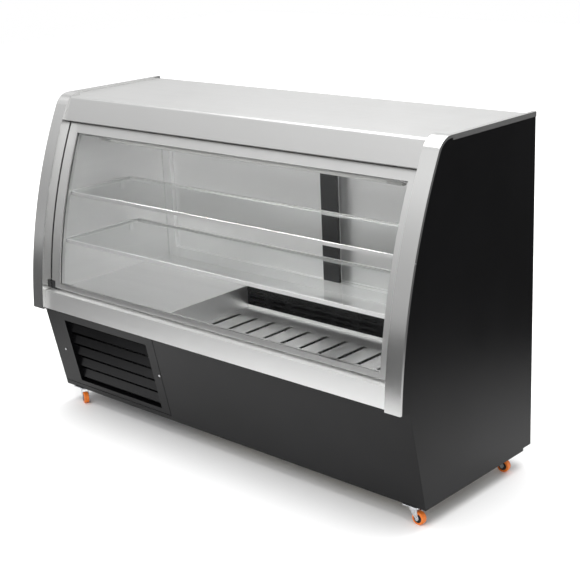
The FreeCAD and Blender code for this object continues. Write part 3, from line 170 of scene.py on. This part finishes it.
class Finish:
    """A material, or a world, that is built as a tree of nodes."""

    def __init__(self, name, world=None):
        self.material = world or bpy.data.materials.new(name)
        self.material.use_nodes = True
        self.tree = self.material.node_tree
        self.tree.nodes.clear()
        self.end = self.tree.nodes.new("ShaderNodeOutputWorld" if world else "ShaderNodeOutputMaterial")

    def node(self, kind, settings=None, sockets=None, out=0):
        """Adds a node: its settings first, then the values or links of its sockets."""
        made = self.tree.nodes.new(kind)
        settings = dict(settings or {})
        stops = settings.pop("stops", None)
        for name, value in settings.items():
            setattr(made, name, value)
        if stops:
            ramp = made.color_ramp
            while len(ramp.elements) < len(stops):
                ramp.elements.new(0.5)
            for element, (place, colour) in zip(ramp.elements, stops):
                element.position, element.color = place, (*colour, 1.0)
        for name, value in (sockets or {}).items():
            socket = made.inputs[name]
            if isinstance(value, Wire):
                self.tree.links.new(value.socket, socket)
            elif socket.type == "RGBA" and len(value) == 3:
                socket.default_value = (*value, 1.0)
            else:
                socket.default_value = value
        return Wire(self, made.outputs[out])

    def place(self):
        """Position on the case, in metres."""
        return self.node("ShaderNodeTexCoord", out="Object")

    def direction(self):
        """Direction of a ray that leaves the scene, in a world."""
        return self.node("ShaderNodeTexCoord", out="Generated")

    def axes(self, vector):
        """The three parts of a vector."""
        split = self.node("ShaderNodeSeparateXYZ", sockets={0: vector})
        return [Wire(self, split.socket.node.outputs[i]) for i in range(3)]

    def ramp(self, wire, low, high, start, end):
        """Runs from start to end as the wire runs from low to high."""
        return self.node("ShaderNodeMapRange", {"clamp": True}, {0: wire, 1: low, 2: high, 3: start, 4: end})

    def noise(self, scale, detail=3.0, rough=0.55, offset=0.0):
        """Noise with its own scale along each axis, as features for each metre."""
        spot = self.node("ShaderNodeVectorMath", {"operation": "MULTIPLY_ADD"},
                         {0: self.place(), 1: scale, 2: (offset, offset, offset)})
        return self.node("ShaderNodeTexNoise", sockets={"Vector": spot, "Scale": 1.0, "Detail": detail,
                                                        "Roughness": rough})

    def spread(self, wire, low, high):
        """The noise's middle range, opened out to run from low to high."""
        return self.ramp(wire, NOISE_LOW, NOISE_HIGH, low, high)

    def blend(self, share, first, second):
        """A colour between two others. A Mix node's colours are its sockets 6 and 7, and its output 2."""
        return self.node("ShaderNodeMix", {"data_type": "RGBA"}, {0: share, 6: first, 7: second}, out=2)

    def bump(self, height, strength, distance):
        """A normal that follows a height."""
        return self.node("ShaderNodeBump", sockets={"Height": height, "Strength": strength, "Distance": distance})

    def finish(self, surface):
        """Joins the last node to the output, and gives the material."""
        self.tree.links.new(surface.socket, self.end.inputs["Surface"])
        return self.material

    def principled(self, **sockets):
        """Ends with a Principled node, whose sockets are named in lower case with underscores."""
        names = {key.replace("_", " ").title().replace("Ior", "IOR"): value for key, value in sockets.items()}
        return self.finish(self.node("ShaderNodeBsdfPrincipled", sockets=names))


def tint(colour, gain):
    """A colour made lighter or darker, and never over white."""
    return tuple(min(1.0, c * gain) for c in colour)


def brushed_steel(name, colour, rough, along, streaks=0.035, clouds=0.03):
    """Stainless sheet, brushed along one axis, with faint handling marks."""
    f = Finish(name)
    steel = bpy.context.scene.deli_steel
    fine, broad = 1.0 / steel.grain, 0.045 / steel.grain
    scale = [fine if axis not in along else 5.0 for axis in "xyz"]
    wide = [broad if axis not in along else 0.8 for axis in "xyz"]
    grain = f.noise(scale, detail=2.0)
    bands = f.noise(wide, detail=2.0, offset=7.0)
    marks = f.noise((3.1, 3.7, 2.9), detail=5.0, rough=0.62, offset=3.0)
    wipes = f.noise((26.0, 21.0, 24.0), detail=4.0, offset=11.0)
    light = f.spread(bands, 0.0, 0.6) + f.spread(grain, 0.0, 0.4)
    base = f.blend(light, tint(colour, 1.0 - streaks), tint(colour, 1.0 + streaks))
    base = f.blend(f.spread(marks, 0.0, 0.35), base, tint(colour, 0.93))
    roughness = f.spread(grain, rough - streaks, rough + streaks) + f.spread(marks, 0.0, clouds) \
        + f.spread(wipes, -0.012, 0.02)
    normal = f.bump(f.spread(grain, 0.0, 1.0) + f.spread(bands, 0.0, 0.5), streaks, 0.0004)
    return f.principled(base_color=base, roughness=roughness, metallic=1.0, normal=normal)


def dark_panel(name):
    """Semi-gloss black coating with a fine orange peel, dust and faint scuffs."""
    f = Finish(name)
    paint = bpy.context.scene.deli_paint
    peel = f.noise((420.0, 420.0, 420.0), detail=2.0)
    scuffs = f.noise((5.0, 5.0, 2.2), detail=5.0, rough=0.6, offset=5.0)
    clouds = f.noise((2.2, 2.2, 2.2), detail=3.0, offset=9.0)
    dust = f.noise((260.0, 260.0, 260.0), detail=1.0, offset=2.0)
    speck = f.ramp(dust, *DUST)
    base = f.blend(f.spread(clouds, 0.0, 1.0), tint(paint.panel, 0.8), tint(paint.panel, 1.5))
    base = f.blend(speck, base, DUST_COLOUR)
    rough = f.spread(scuffs, paint.panel_rough - 0.02, paint.panel_rough + 0.03)
    return f.principled(base_color=base, roughness=rough, metallic=0.0, specular_ior_level=0.17,
                        coat_weight=f.spread(clouds, 0.0, 0.03), coat_roughness=0.2,
                        normal=f.bump(peel, 0.03, 0.0004))


def moulded(name, colour, rough=0.5, grain=900.0, depth=0.08, gloss=0.5):
    """Moulded plastic or rubber with a fine texture."""
    f = Finish(name)
    texture = f.noise((grain, grain, grain), detail=2.0)
    marks = f.noise((30.0, 30.0, 30.0), detail=4.0, offset=4.0)
    base = f.blend(f.spread(marks, 0.0, 1.0), tint(colour, 0.8), tint(colour, 1.2))
    return f.principled(base_color=base, roughness=f.spread(marks, rough - 0.08, rough + 0.08),
                        specular_ior_level=gloss, normal=f.bump(texture, depth, 0.0006))


def plain_metal(name, colour, rough, scale=60.0):
    """Cast, plated or mill-finish metal with an uneven sheen."""
    f = Finish(name)
    mottle = f.noise((scale, scale, scale), detail=5.0, rough=0.6)
    fine = f.noise((scale * 9, scale * 9, scale * 9), detail=2.0, offset=6.0)
    base = f.blend(f.spread(mottle, 0.0, 1.0), tint(colour, 0.82), tint(colour, 1.1))
    return f.principled(base_color=base, roughness=f.spread(mottle, rough - 0.07, rough + 0.1), metallic=1.0,
                        normal=f.bump(fine, 0.08, 0.0003))


def clear_glass(name, edge_tint, haze=0.02):
    """Clear sheet that shows its reflections, with faint wipe marks."""
    f = Finish(name)
    wipes = f.noise((5.0, 2.0, 2.4), detail=5.0, rough=0.7)
    facing = f.node("ShaderNodeLayerWeight", sockets={"Blend": 0.5}, out="Facing")
    mirror = facing ** GLASS_POWER * GLASS_GRAZING + GLASS_FACING
    film = f.spread(wipes, 0.0, haze)
    clear = f.node("ShaderNodeBsdfTransparent", sockets={"Color": (*edge_tint, 1.0)})
    gloss = f.node("ShaderNodeBsdfPrincipled", sockets={"Base Color": (0.95, 0.97, 0.97, 1.0), "Metallic": 1.0,
                                                        "Roughness": f.spread(wipes, 0.0, 0.03)})
    return f.finish(f.node("ShaderNodeMixShader", sockets={0: mirror + film, 1: clear, 2: gloss}))


def lamp_opal(name, strength):
    """Opal lamp cover that glows, a little less at its ends."""
    f = Finish(name)
    x = f.axes(f.place())[0]
    ends = f.node("ShaderNodeMath", {"operation": "ABSOLUTE"}, {0: x})
    fade = f.ramp(ends, *LAMP_ENDS)
    glow = f.blend(fade, (0.8, 0.82, 0.8), (1.0, 1.0, 0.97))
    cover = f.blend(fade, (0.42, 0.43, 0.42), (0.55, 0.55, 0.54))
    return f.principled(base_color=cover, roughness=0.4, emission_color=glow, emission_strength=strength)


def tyre_and_hub(name, centre, axle, colour):
    """Orange tyre and black hub, told apart by how far a point is from the axle."""
    f = Finish(name)
    arm = f.node("ShaderNodeVectorMath", {"operation": "SUBTRACT"}, {0: f.place(), 1: tuple(centre)})
    off = f.node("ShaderNodeVectorMath", {"operation": "CROSS_PRODUCT"}, {0: arm, 1: tuple(axle)})
    radius = f.node("ShaderNodeVectorMath", {"operation": "LENGTH"}, {0: off}, out="Value")
    tread = radius > HUB_RADIUS
    scuff = f.noise((170.0, 170.0, 170.0), detail=4.0)
    rubber = f.blend(f.spread(scuff, 0.0, 1.0), tint(colour, 0.82), tint(colour, 1.08))
    base = f.blend(tread, HUB_COLOUR, rubber)
    return f.principled(base_color=base, roughness=f.spread(scuff, 0.34, 0.5),
                        normal=f.bump(scuff, 0.1, 0.0004))


# ---------------------------------------------------------------- pieces
def paint(material, *nodes):
    """Gives CAD nodes this material."""
    for name in nodes:
        slots = frame["nodes"][name].data.materials
        if not len(slots):
            slots.append(material)
        for i in range(len(slots)):
            slots[i] = material


def soften(width, *nodes):
    """Rounds the sharp sheet edges of CAD nodes a little."""
    for name in nodes:
        rounding = frame["nodes"][name].modifiers.new("edges", "BEVEL")
        rounding.width, rounding.segments = width, 2
        rounding.limit_method, rounding.angle_limit = "ANGLE", SHARP_ANGLE
        rounding.harden_normals = True


def centre_of(node):
    """Middle of a CAD node's box."""
    low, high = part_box(node)
    return (Vector(low) + Vector(high)) / 2


def new_piece(name, mesh, body, slot, *materials):
    """A piece that the frame doesn't have, which rides a body."""
    piece = bpy.data.objects.new(name, mesh)
    bpy.context.scene.collection.objects.link(piece)
    for material in materials:
        mesh.materials.append(material)
    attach(piece, body)
    return piece


def sweep(name, path, radius, sides=10):
    """A mesh tube along a path of points."""
    curve = bpy.data.curves.new(name, "CURVE")
    curve.dimensions, curve.bevel_depth, curve.bevel_resolution = "3D", radius, sides // 2
    curve.use_fill_caps = True
    line = curve.splines.new("POLY")
    line.points.add(len(path) - 1)
    for point, spot in zip(line.points, path):
        point.co = (*spot, 1.0)
    made = bpy.data.objects.new(name, curve)
    mesh = bpy.data.meshes.new_from_object(made)
    bpy.data.objects.remove(made)
    bpy.data.curves.remove(curve)
    mesh.name = name
    for face in mesh.polygons:
        face.use_smooth = True
    return mesh


# ---------------------------------------------------------------- operators
class DELI_OT_steel(bpy.types.Operator):
    """Stainless trims, hood, sill and glass frame"""
    bl_idname = "deli.steel"
    bl_label = "Outer steel"

    def execute(self, context):
        steel, fittings = context.scene.deli_steel, context.scene.deli_fittings
        upright = brushed_steel("trim_steel_upright", steel.trim, steel.trim_rough - 0.02, along="yz",
                                streaks=0.008, clouds=0.015)
        level = brushed_steel("trim_steel_level", steel.trim, steel.trim_rough + 0.02, along="x", streaks=0.02)
        hood = brushed_steel("hood_steel", steel.hood, steel.hood_rough, along="x", streaks=0.006, clouds=0.01)
        # Darker copy of the hood steel for the top sheet: painted shade on the top.
        shaded_top = brushed_steel("top_steel_painted_shade", tint(steel.hood, 0.84), steel.hood_rough + 0.08, along="x", streaks=0.02)
        paint(upright, "front_trim_left", "front_trim_right")
        frame_steel = brushed_steel("frame_steel", tint(steel.trim, 1.02), steel.trim_rough + 0.1, along="x",
                                    streaks=0.006, clouds=0.01)
        # Lighter copy of the trim steel for the sill: painted light on the sill.
        sill = brushed_steel("sill_steel_painted_light", tint(steel.trim, 1.28), steel.trim_rough + 0.2, along="x",
                             streaks=0.008, clouds=0.01)
        paint(level, "top_edge_trims")
        paint(sill, "sill_fascia")
        paint(frame_steel, "glass_frame")
        paint(hood, "hood_fascia")
        paint(shaded_top, "top_sheet")
        soften(fittings.bevel, "front_trim_left", "front_trim_right", "sill_fascia", "hood_fascia",
               "glass_frame", "top_edge_trims")
        return {"FINISHED"}


class DELI_OT_liner(bpy.types.Operator):
    """Stainless liner, floors, well, shelf rails, rear doors and their frame"""
    bl_idname = "deli.liner"
    bl_label = "Inner steel"

    def execute(self, context):
        steel = context.scene.deli_steel
        walls = brushed_steel("liner_steel_walls", steel.liner, steel.liner_rough + 0.05, along="y", streaks=0.025)
        floors = brushed_steel("liner_steel_floors", steel.liner, steel.liner_rough, along="x", streaks=0.03)
        # Lighter copy of the liner steel for the rear doors: painted light on the doors.
        doors = brushed_steel("door_steel_painted_light", tint(steel.liner, 1.12), steel.liner_rough + 0.06, along="z",
                              streaks=0.015)
        # Lighter copy of the liner steel for the door frame: painted light, a bright band on the jambs.
        lit_jambs = brushed_steel("jamb_steel_painted_light", tint(steel.liner, 1.14), steel.liner_rough + 0.16, along="z",
                              streaks=0.015)
        # Lighter copy of the liner steel for the shelf rails and brackets: painted light on the rails.
        rails = brushed_steel("shelf_rail_steel_painted_light", tint(steel.liner, 1.14), steel.trim_rough + 0.28, along="x",
                              clouds=0.02)
        # Near-black copy of the steel for the well under the slotted deck: painted shade.
        well = brushed_steel("well_steel_painted_shade", (0.04, 0.04, 0.042), rough=0.45, along="x")
        paint(walls, "liner_left", "liner_right")
        paint(floors, "machine_deck", "slotted_deck", "rear_ledge", "ceiling_liner", "light_header")
        paint(doors, "rear_door_left", "rear_door_right")
        paint(lit_jambs, "door_frame")
        paint(well, "well_tub")
        paint(rails, "upper_shelf_rails", "lower_shelf_rails", "shelf_brackets")
        return {"FINISHED"}


class DELI_OT_sealant(bpy.types.Operator):
    """Sealant in the liner's rear corners and under its ceiling"""
    bl_idname = "deli.sealant"
    bl_label = "Sealant"

    def execute(self, context):
        radius = context.scene.deli_fittings.bead
        silicone = moulded("sealant_silicone", (0.72, 0.73, 0.72), rough=0.35)
        inner = {"left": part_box("liner_left")[1].x + radius / 2, "right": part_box("liner_right")[0].x - radius / 2}
        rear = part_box("door_frame")[0].y - radius / 2
        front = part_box("light_header")[1].y + radius
        foot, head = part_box("rear_ledge")[1].z + radius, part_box("ceiling_liner")[0].z - radius / 2
        for side, x in inner.items():
            path = [(x, rear, foot), (x, rear, head), (x, front, head)]
            new_piece("sealant_" + side, sweep("sealant_" + side, path, radius), "cabinet", "drain_plastic", silicone)
        return {"FINISHED"}


class DELI_OT_glass(bpy.types.Operator):
    """Curved front glass, shelf glass and the rubber round the front glass"""
    bl_idname = "deli.glass"
    bl_label = "Glass"

    def execute(self, context):
        front = clear_glass("front_glass_clear", (0.988, 0.988, 0.986), haze=0.006)
        shelf = clear_glass("shelf_glass_clear", (0.976, 0.98, 0.976), haze=0.012)
        paint(front, "front_glass")
        paint(shelf, "upper_shelf_glass", "lower_shelf_glass")
        paint(moulded("gasket_rubber", (0.02, 0.02, 0.021), rough=0.6), "glass_gasket")
        return {"FINISHED"}


class DELI_OT_panels(bpy.types.Operator):
    """Dark side panels, kick panel, grille and rear panel"""
    bl_idname = "deli.panels"
    bl_label = "Dark panels"

    def execute(self, context):
        coat = dark_panel("panel_black")
        paint(coat, "side_panel_left", "side_panel_right", "kick_panel", "grille_panel", "rear_panel")
        paint(moulded("trim_black", (0.012, 0.012, 0.013), rough=0.45), "centre_post",
              "glass_hinge_blocks", "control_box", "cord_gland", "evaporator_fan_housings")
        paint(moulded("guard_black", (0.004, 0.004, 0.0045), rough=0.7, gloss=0.1), "evaporator_guard")
        paint(plain_metal("screw_zinc", (0.62, 0.62, 0.63), rough=0.3), "panel_screws")
        soften(context.scene.deli_fittings.bevel, "grille_panel", "kick_panel", "centre_post")
        return {"FINISHED"}


class DELI_OT_machinery(bpy.types.Operator):
    """Coils, fans, compressor, pipes, foam and the base frame"""
    bl_idname = "deli.machinery"
    bl_label = "Machinery"

    def execute(self, context):
        settings = context.scene.deli_paint
        paint(plain_metal("coil_aluminium", (0.72, 0.73, 0.74), rough=0.35, scale=90.0), "evaporator_coil")
        paint(moulded("fan_black", (0.02, 0.02, 0.022), rough=0.4), "evaporator_fan_left", "evaporator_fan_right")
        paint(plain_metal("fan_aluminium", (0.70, 0.71, 0.72), rough=0.4), "condenser_fan")
        # The condenser coil gets this black too: partly its own coating, partly painted shade that keeps the gaps
        # behind the grille dark.
        paint(moulded("machine_black", (0.015, 0.015, 0.017), rough=0.3, grain=300.0),
              "compressor", "condenser_fan_motor", "condenser_coil")
        paint(plain_metal("pipe_copper", (0.72, 0.36, 0.22), rough=0.3), "refrigerant_lines")
        paint(moulded("foam_cream", tuple(settings.foam), rough=0.8, grain=500.0, depth=0.3), "foam_panels")
        paint(moulded("frame_paint", (0.05, 0.05, 0.055), rough=0.45, grain=350.0), "base_frame", "unit_base_plate")
        paint(moulded("drain_plastic", (0.5, 0.5, 0.48), rough=0.45), "drain_pipe")
        return {"FINISHED"}


class DELI_OT_casters(bpy.types.Operator):
    """Zinc forks and orange tyres"""
    bl_idname = "deli.casters"
    bl_label = "Casters"

    def execute(self, context):
        colour = tuple(context.scene.deli_paint.wheel)
        zinc = plain_metal("caster_zinc", (0.66, 0.67, 0.69), rough=0.26, scale=80.0)
        paint(zinc, "caster_plates", *("caster_fork_" + c for c in CORNERS))
        axles = {joint["child"]: joint["axis"] for joint in frame["joints"]}
        for corner in CORNERS:
            node = "caster_wheel_" + corner
            axle = axles["wheel_" + corner]
            paint(tyre_and_hub("tyre_" + corner, centre_of(node), axle, colour), node)
        return {"FINISHED"}


class DELI_OT_lamp(bpy.types.Operator):
    """The opal lamp under the header, its holders and its light"""
    bl_idname = "deli.lamp"
    bl_label = "Lamp"

    def execute(self, context):
        studio = context.scene.deli_studio
        paint(lamp_opal("lamp_opal", studio.lamp_glow), "lamp_diffuser")
        paint(moulded("holder_white", (0.55, 0.55, 0.54), rough=0.4), "lamp_holders")
        low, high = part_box("lamp_diffuser")
        spot = centre_of("lamp_diffuser")
        spot.z = low[2] - LAMP_GAP
        area_light("lamp_light", spot, spot - Vector((0.0, 0.0, 1.0)),
                   (high[0] - low[0], high[1] - low[1]), studio.lamp_power)
        return {"FINISHED"}


def area_light(name, spot, target, size, power):
    """A white rectangle of light that faces its target."""
    light = bpy.data.lights.new(name, "AREA")
    light.shape, light.size, light.size_y = "RECTANGLE", size[0], size[1]
    light.energy = power
    holder = bpy.data.objects.new(name, light)
    holder.location = spot
    holder.rotation_euler = (Vector(target) - Vector(spot)).to_track_quat("-Z", "Y").to_euler()
    bpy.context.scene.collection.objects.link(holder)


def studio_world():
    """A surround that the camera sees as white, and metal sees as a room with a darker front."""
    world = bpy.data.worlds.new("studio")
    f = Finish("studio", world)
    y, z = f.axes(f.direction())[1:]
    clouds = f.node("ShaderNodeTexNoise", sockets={"Vector": f.direction(), "Scale": 1.7, "Detail": 2.0})
    depth = f.ramp(y, *ROOM_DEPTH)
    height = f.ramp(z, *ROOM_HEIGHT)
    room = (depth + height) * f.ramp(clouds, *ROOM_CLOUDS)
    below = f.ramp(z, *ROOM_BELOW)
    seen = f.node("ShaderNodeLightPath", out="Is Camera Ray")
    strength = f.node("ShaderNodeMix", {"data_type": "FLOAT"}, {0: seen, 2: room * below, 3: 1.0})
    f.finish(f.node("ShaderNodeBackground", sockets={"Color": (1.0, 1.0, 1.0), "Strength": strength}))
    return world


class DELI_OT_studio(bpy.types.Operator):
    """Pale floor, soft lights and the camera"""
    bl_idname = "deli.studio"
    bl_label = "Studio"

    def execute(self, context):
        studio = context.scene.deli_studio
        mesh = bpy.data.meshes.new("floor")
        form = bmesh.new()
        bmesh.ops.create_grid(form, x_segments=4, y_segments=4, size=FLOOR_REACH)
        form.to_mesh(mesh)
        form.free()
        floor = bpy.data.objects.new("floor", mesh)
        context.scene.collection.objects.link(floor)
        f = Finish("floor_pale")
        marks = f.noise((0.6, 0.6, 0.6), detail=2.0)
        base = f.blend(f.spread(marks, 0.0, 1.0), tint(studio.floor, 0.985), tuple(studio.floor))
        far = f.node("ShaderNodeVectorMath", {"operation": "LENGTH"}, {0: f.place()}, out="Value")
        seen = f.node("ShaderNodeLightPath", out="Is Camera Ray")
        base = f.blend(f.ramp(far, *FLOOR_FADE) * (1.0 - seen), base, FLOOR_DARK)
        glow = f.blend(f.ramp(far, *FLOOR_GLOW) * seen, (0.0, 0.0, 0.0), (1.0, 1.0, 1.0))
        mesh.materials.append(f.principled(base_color=base, roughness=0.6, emission_color=glow,
                                           emission_strength=1.0))

        context.scene.world = studio_world()
        area_light("top_light", *TOP_LIGHT, studio.top_power)
        area_light("front_light", *FRONT_LIGHT, studio.front_power)

        camera = bpy.data.cameras.new("camera")
        camera.lens, camera.sensor_width = studio.lens, SENSOR_WIDTH
        holder = bpy.data.objects.new("camera", camera)
        level = math.cos(CAMERA_PITCH)
        ahead = Vector((-math.sin(CAMERA_YAW) * level, math.cos(CAMERA_YAW) * level, -math.sin(CAMERA_PITCH)))
        right = ahead.cross(Vector((0.0, 0.0, 1.0))).normalized()
        up = right.cross(ahead)
        tilted_right = math.cos(CAMERA_ROLL) * right + math.sin(CAMERA_ROLL) * up
        tilted_up = math.cos(CAMERA_ROLL) * up - math.sin(CAMERA_ROLL) * right
        turn = Matrix((tilted_right, tilted_up, -ahead)).transposed().to_4x4()
        holder.matrix_world = Matrix.Translation(CAMERA_SPOT) @ turn
        context.scene.collection.objects.link(holder)
        context.scene.camera = holder
        context.scene.view_settings.view_transform = "Standard"
        return {"FINISHED"}


OPERATORS = (DELI_OT_steel, DELI_OT_liner, DELI_OT_sealant, DELI_OT_glass, DELI_OT_panels, DELI_OT_machinery,
             DELI_OT_casters, DELI_OT_lamp, DELI_OT_studio)


class DELI_PT_sidebar(bpy.types.Panel):
    """Lists the operators and their settings"""
    bl_idname = "DELI_PT_sidebar"
    bl_label = "Deli case"
    bl_space_type = "VIEW_3D"
    bl_region_type = "UI"
    bl_category = "Deli case"

    def draw(self, context):
        for operator in OPERATORS:
            self.layout.operator(operator.bl_idname)
        for name, group in SETTINGS.items():
            settings = getattr(context.scene, name)
            for key in group.__annotations__:
                self.layout.prop(settings, key)


CLASSES = (*SETTINGS.values(), *OPERATORS, DELI_PT_sidebar)


def register():
    for cls in CLASSES:
        bpy.utils.register_class(cls)
    for name, group in SETTINGS.items():
        setattr(bpy.types.Scene, name, PointerProperty(type=group))


def unregister():
    for name in SETTINGS:
        delattr(bpy.types.Scene, name)
    for cls in reversed(CLASSES):
        bpy.utils.unregister_class(cls)


def main():
    register()
    for operator in OPERATORS:
        group, name = operator.bl_idname.split(".")
        getattr(getattr(bpy.ops, group), name)()


if __name__ == "__main__":
    main()
